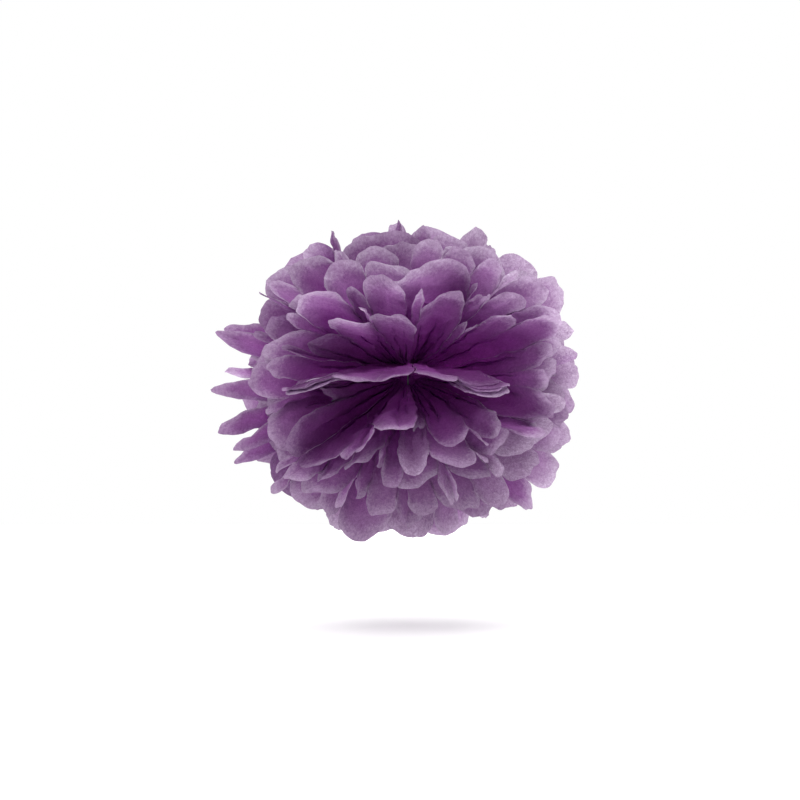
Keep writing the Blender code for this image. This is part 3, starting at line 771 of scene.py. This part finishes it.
def add_mesh(name, points, faces, material):
    """A new smooth piece, with its sharpest folds kept sharp."""
    mesh = bpy.data.meshes.new(name)
    mesh.from_pydata(points, [], faces)
    mesh.materials.append(material)
    mesh.shade_smooth()
    mesh.set_sharp_from_angle(angle=math.radians(SHARP_ANGLE))
    piece = bpy.data.objects.new(name, mesh)
    bpy.context.scene.collection.objects.link(piece)
    return piece


def pale_share(sheet, side):
    """How pale each petal may be: single paper with the light behind it, by where it lies."""
    angles = fan_of(sheet, side)["angles"]
    middles = (angles[:-1] + angles[1:]) / 2
    lies = np.interp(middles, *(PALE_RIGHT if side == RIGHT else PALE_LEFT))
    return lies * np.interp(sheet, *PALE_SHEETS)


def point_values(sheet, side):
    """What the material needs at each point of one fan: how far out it lies along its petal, its
    tone, how pale it is and how worn its fold is.
    """
    rng = np.random.default_rng(LOOK_SEED + FINE_SEEDS_A_SHEET * sheet + (side == RIGHT))
    along = column_places()
    way_out = np.linspace(0, 1, ROWS + 1)
    tone = rng.uniform(*FOLD_TONES, PLEATS + 1)
    # Pointed petals get painted shade: dark at one fold, lighter at the next
    for panel in POINTED_PETALS.get((sheet, side), ()):
        tone[panel : panel + 2] = POINTED_PAINTED_SHADE_TONES
    pale = (rng.uniform(0, 1, PLEATS) * pale_share(sheet, side))[panel_of(along)[0]]
    rising = smooth((way_out - PALE_FROM) / (1 - PALE_FROM))
    worn = rng.uniform(0, 1, PLEATS + 1) ** RIDGE_POWER
    worn[list(CRISP_FOLDS.get((sheet, side), ()))] = 1
    ridge = np.zeros(len(along))
    ridge[::COLUMNS] = worn
    return {
        "way_out": np.repeat(way_out, len(along)),
        "tone": np.tile(np.interp(along, np.arange(PLEATS + 1), tone), ROWS + 1),
        "pale": np.outer(rising, pale).ravel(),
        "ridge": np.outer(smooth(np.linspace(0, RIDGE_RISE, ROWS + 1)), ridge).ravel(),
    }


def tissue_sheet(sheet, material):
    """One sheet of tissue: both fans and the gathered waist between them."""
    points = []
    faces = []
    starts = {}
    values = {}
    for side in (RIGHT, LEFT):
        grid = crinkled(fan_grid(sheet, side))
        count = grid.shape[1]
        start = starts[side] = len(points)
        points += grid.reshape(-1, 3).tolist()
        for name, fan_values in point_values(sheet, side).items():
            values.setdefault(name, []).extend(fan_values.tolist())
        for row in range(ROWS):
            for column in range(count - 1):
                first = start + row * count + column
                face = (first, first + 1, first + count + 1, first + count)
                faces.append(face if side == RIGHT else face[::-1])
    right, left = starts[RIGHT], starts[LEFT]
    for column in range(count - 1):
        faces.append((left + column, left + column + 1, right + column + 1, right + column))
    piece = add_mesh(f"tissue_sheet_{sheet + 1:02d}", points, faces, material)
    for name, numbers in values.items():
        attribute = piece.data.attributes.new(name, "FLOAT", "POINT")
        attribute.data.foreach_set("value", numbers)
    return piece


class Nodes:
    """A material's node tree, built by short calls."""

    def __init__(self, name):
        self.material = bpy.data.materials.new(name)
        self.material.use_nodes = True
        self.tree = self.material.node_tree
        self.tree.nodes.clear()

    def add(self, kind, **settings):
        """A new node with these settings."""
        node = self.tree.nodes.new(kind)
        for key, value in settings.items():
            setattr(node, key, value)
        return node

    def value(self, name):
        """The value that each point has under this name."""
        return self.add("ShaderNodeAttribute", attribute_name=name).outputs["Fac"]

    def join(self, source, target):
        """A link from an output to an input."""
        self.tree.links.new(source, target)

    def noise(self, vector, scale, detail, rough, distortion=0):
        """Cloudy noise, from 0 to 1."""
        node = self.add("ShaderNodeTexNoise")
        node.inputs["Scale"].default_value = scale
        node.inputs["Detail"].default_value = detail
        node.inputs["Roughness"].default_value = rough
        node.inputs["Distortion"].default_value = distortion
        self.join(vector, node.inputs["Vector"])
        return node.outputs["Fac"]

    def ramp(self, value, stops):
        """A colour for each value, between stops of place and colour."""
        node = self.add("ShaderNodeValToRGB")
        ramp = node.color_ramp
        ramp.elements[0].position, ramp.elements[1].position = stops[0][0], stops[-1][0]
        for place, _ in stops[1:-1]:
            ramp.elements.new(place)
        for element, (_, colour) in zip(ramp.elements, stops):
            element.color = (*colour, 1)
        self.join(value, node.inputs["Fac"])
        return node.outputs["Color"]

    def math(self, kind, first, second):
        """Two numbers or outputs, joined by this kind of sum."""
        node = self.add("ShaderNodeMath", operation=kind)
        for slot, value in enumerate((first, second)):
            if isinstance(value, (int, float)):
                node.inputs[slot].default_value = value
            else:
                self.join(value, node.inputs[slot])
        return node.outputs[0]

    def mix(self, kind, share, first, second):
        """Two colours or outputs, mixed by this share."""
        node = self.add("ShaderNodeMix", data_type="RGBA", blend_type=kind)
        for slot, value in (("Factor", share), ("A", first), ("B", second)):
            socket = [s for s in node.inputs if s.name == slot and s.enabled][0]
            if isinstance(value, (int, float)):
                socket.default_value = value
            elif isinstance(value, tuple):
                socket.default_value = (*value, 1)
            else:
                self.join(value, socket)
        return [s for s in node.outputs if s.enabled][0]


def tissue_material():
    """Thin dyed tissue: cloudy fibres, soft crinkles, light that comes through, and painted light and
    shade.
    """
    nodes = Nodes("purple_tissue")
    place = nodes.add("ShaderNodeTexCoord").outputs["Object"]
    cloud = nodes.noise(place, *CLOUDS)
    grain = nodes.noise(place, *GRAIN)
    fibres = nodes.noise(place, *FIBRES)
    patches = nodes.noise(place, *PATCHES)
    outward = nodes.value("way_out")
    tone = nodes.value("tone")
    blur = nodes.math("MULTIPLY", nodes.math("SUBTRACT", cloud, 0.5), COLOUR_BLUR)
    away = nodes.math("ADD", outward, blur)

    # The paper's purple, with painted light and shade along the petal: bright near the tie, darker below
    # the rims, paler at the rims
    paper = nodes.ramp(away, FRONT_COLOURS_WITH_PAINTED_SHADE)
    through = nodes.ramp(away, THROUGH_COLOURS_WITH_PAINTED_SHADE)
    pale = nodes.value("pale")
    paper = nodes.mix("MIX", nodes.math("MULTIPLY", pale, PALE_FRONT_SHARE), paper, PALE_FRONT)
    through = nodes.mix("MIX", pale, through, PALE_THROUGH)

    mottle = nodes.ramp(cloud, CLOUD_SHADES)
    specks = nodes.ramp(grain, GRAIN_SHADES)
    # Random tone of each fold, and the painted shade of the pointed petals
    tone_and_painted_shade = nodes.ramp(tone, TONES)
    shades = nodes.ramp(patches, PATCH_SHADES)
    for_both = nodes.mix("MULTIPLY", 1.0, mottle, specks)
    for_both = nodes.mix("MULTIPLY", 1.0, for_both, shades)
    for_both = nodes.mix("MULTIPLY", 1.0, for_both, tone_and_painted_shade)
    paper = nodes.mix("MULTIPLY", 1.0, paper, for_both)
    through = nodes.mix("MULTIPLY", 1.0, through, for_both)

    ridge = nodes.value("ridge")
    ridge = nodes.math("MULTIPLY", nodes.math("MULTIPLY", ridge, ridge), RIDGE_STRENGTH)
    paper = nodes.mix("MIX", ridge, paper, RIDGE_FRONT)
    through = nodes.mix("MIX", ridge, through, RIDGE_THROUGH)

    veins = nodes.ramp(nodes.noise(place, *VEINS), VEIN_SHADES)
    veined = nodes.math("ADD", nodes.math("MULTIPLY", pale, VEINS_IN_TIPS), VEINS_EVERYWHERE)
    paper = nodes.mix("MULTIPLY", veined, paper, veins)
    through = nodes.mix("MULTIPLY", veined, through, veins)

    cloud_part = nodes.math("MULTIPLY", cloud, RELIEF_CLOUDS)
    fibre_part = nodes.math("MULTIPLY", fibres, RELIEF_FIBRES)
    relief = nodes.add("ShaderNodeBump")
    relief.inputs["Strength"].default_value = RELIEF_STRENGTH
    relief.inputs["Distance"].default_value = RELIEF_HEIGHT
    nodes.join(nodes.math("ADD", cloud_part, fibre_part), relief.inputs["Height"])

    shader = nodes.add("ShaderNodeBsdfPrincipled")
    nodes.join(paper, shader.inputs["Base Color"])
    rough = nodes.math("ADD", PAPER_ROUGHNESS, nodes.math("MULTIPLY", fibres, FIBRES_ROUGHEN))
    nodes.join(rough, shader.inputs["Roughness"])
    shader.inputs["IOR"].default_value = PAPER_BENDS_LIGHT
    shader.inputs["Specular IOR Level"].default_value = PAPER_GLOSS
    nodes.join(relief.outputs["Normal"], shader.inputs["Normal"])
    back = nodes.add("ShaderNodeBsdfTranslucent")
    nodes.join(through, back.inputs["Color"])
    nodes.join(relief.outputs["Normal"], back.inputs["Normal"])
    both = nodes.add("ShaderNodeMixShader")
    both.inputs["Fac"].default_value = LIGHT_THROUGH
    nodes.join(shader.outputs[0], both.inputs[1])
    nodes.join(back.outputs[0], both.inputs[2])
    out = nodes.add("ShaderNodeOutputMaterial")
    nodes.join(both.outputs[0], out.inputs["Surface"])
    return nodes.material


def wire_material():
    """Thin steel wire with fine drawing marks."""
    nodes = Nodes("tie_wire_steel")
    place = nodes.add("ShaderNodeTexCoord").outputs["Object"]
    marks = nodes.noise(place, *WIRE_MARKS)
    shader = nodes.add("ShaderNodeBsdfPrincipled")
    nodes.join(nodes.ramp(marks, WIRE_SHADES), shader.inputs["Base Color"])
    shader.inputs["Metallic"].default_value = 1
    rough = nodes.math("ADD", WIRE_ROUGHNESS, nodes.math("MULTIPLY", marks, MARKS_ROUGHEN))
    nodes.join(rough, shader.inputs["Roughness"])
    out = nodes.add("ShaderNodeOutputMaterial")
    nodes.join(shader.outputs[0], out.inputs["Surface"])
    return nodes.material


def add_camera():
    """The photograph's view."""
    data = bpy.data.cameras.new("camera")
    data.sensor_width = SENSOR
    data.lens = SENSOR * CAMERA_AWAY / FRAME_WIDTH
    data.shift_x = -TIE_RIGHT_PIXELS / PICTURE
    data.shift_y = -TIE_UP_PIXELS / PICTURE
    camera = bpy.data.objects.new("camera", data)
    camera.location = (0, -CAMERA_AWAY, 0)
    camera.rotation_euler = (math.pi / 2, 0, 0)
    bpy.context.scene.collection.objects.link(camera)
    bpy.context.scene.camera = camera


def add_lamp(name, energy, size, place, aim):
    """A soft square lamp that faces its aim and isn't seen itself."""
    data = bpy.data.lights.new(name, "AREA")
    data.energy = energy
    data.size = size
    lamp = bpy.data.objects.new(name, data)
    lamp.location = place
    lamp.visible_camera = False
    way = Vector(aim) - Vector(place)
    lamp.rotation_euler = way.to_track_quat("-Z", "Y").to_euler()
    bpy.context.scene.collection.objects.link(lamp)


def floor_material():
    """Plain pale card."""
    nodes = Nodes("studio_floor")
    place = nodes.add("ShaderNodeTexCoord").outputs["Object"]
    shade = nodes.noise(place, *FLOOR_NOISE)
    shader = nodes.add("ShaderNodeBsdfPrincipled")
    nodes.join(nodes.ramp(shade, FLOOR_SHADES), shader.inputs["Base Color"])
    shader.inputs["Roughness"].default_value = FLOOR_ROUGHNESS
    shader.inputs["Specular IOR Level"].default_value = FLOOR_GLOSS
    out = nodes.add("ShaderNodeOutputMaterial")
    nodes.join(shader.outputs[0], out.inputs["Surface"])
    return nodes.material


def add_sky():
    """A sky that gives soft white light, and looks plain white to the camera and in gloss."""
    world = bpy.data.worlds.new("studio")
    bpy.context.scene.world = world
    world.use_nodes = True
    tree = world.node_tree
    light = tree.nodes["Background"]
    light.inputs["Color"].default_value = WHITE
    light.inputs["Strength"].default_value = SKY_LIGHT
    seen = tree.nodes.new("ShaderNodeBackground")
    seen.inputs["Color"].default_value = WHITE
    seen.inputs["Strength"].default_value = 1
    path = tree.nodes.new("ShaderNodeLightPath")
    either = tree.nodes.new("ShaderNodeMath")
    either.operation = "MAXIMUM"
    any_of = tree.nodes.new("ShaderNodeMath")
    any_of.operation = "MAXIMUM"
    mix = tree.nodes.new("ShaderNodeMixShader")
    tree.links.new(path.outputs["Is Camera Ray"], either.inputs[0])
    tree.links.new(path.outputs["Is Glossy Ray"], either.inputs[1])
    tree.links.new(either.outputs[0], any_of.inputs[0])
    tree.links.new(path.outputs["Is Transmission Ray"], any_of.inputs[1])
    tree.links.new(any_of.outputs[0], mix.inputs["Fac"])
    tree.links.new(light.outputs[0], mix.inputs[1])
    tree.links.new(seen.outputs[0], mix.inputs[2])
    tree.links.new(mix.outputs[0], tree.nodes["World Output"].inputs["Surface"])


def add_studio(floor_height):
    """A plain pale floor under a plain white sky, and three soft lamps."""
    material = floor_material()
    mesh = bpy.data.meshes.new("floor")
    half = FLOOR_HALF
    corners = [(-half, -half, 0), (half, -half, 0), (half, half, 0), (-half, half, 0)]
    mesh.from_pydata(corners, [], [(0, 1, 2, 3)])
    mesh.materials.append(material)
    floor = bpy.data.objects.new("floor", mesh)
    floor.location = (0, 0, floor_height)
    bpy.context.scene.collection.objects.link(floor)
    floor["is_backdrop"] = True
    add_sky()
    for name, lamp in LAMPS.items():
        add_lamp(name, *lamp)


def main():
    """Dresses every node, then adds the camera and the studio."""
    tissue = tissue_material()
    for sheet in range(SHEETS):
        piece = tissue_sheet(sheet, tissue)
        node = f"sheet_{sheet + 1:02d}"
        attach(piece, "root")
        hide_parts(node)
        cut_area(sheet)
    wire = bpy.data.objects["tie_wire"]
    wire.data.materials.clear()
    wire.data.materials.append(wire_material())
    add_camera()
    add_studio(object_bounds()[0][2] - FLOOR_DROP)
    scene = bpy.context.scene
    scene.view_settings.view_transform = "Standard"
    scene.cycles.max_bounces = ALL_BOUNCES
    scene.cycles.diffuse_bounces = MATTE_BOUNCES
    scene.cycles.transmission_bounces = THROUGH_BOUNCES


main()
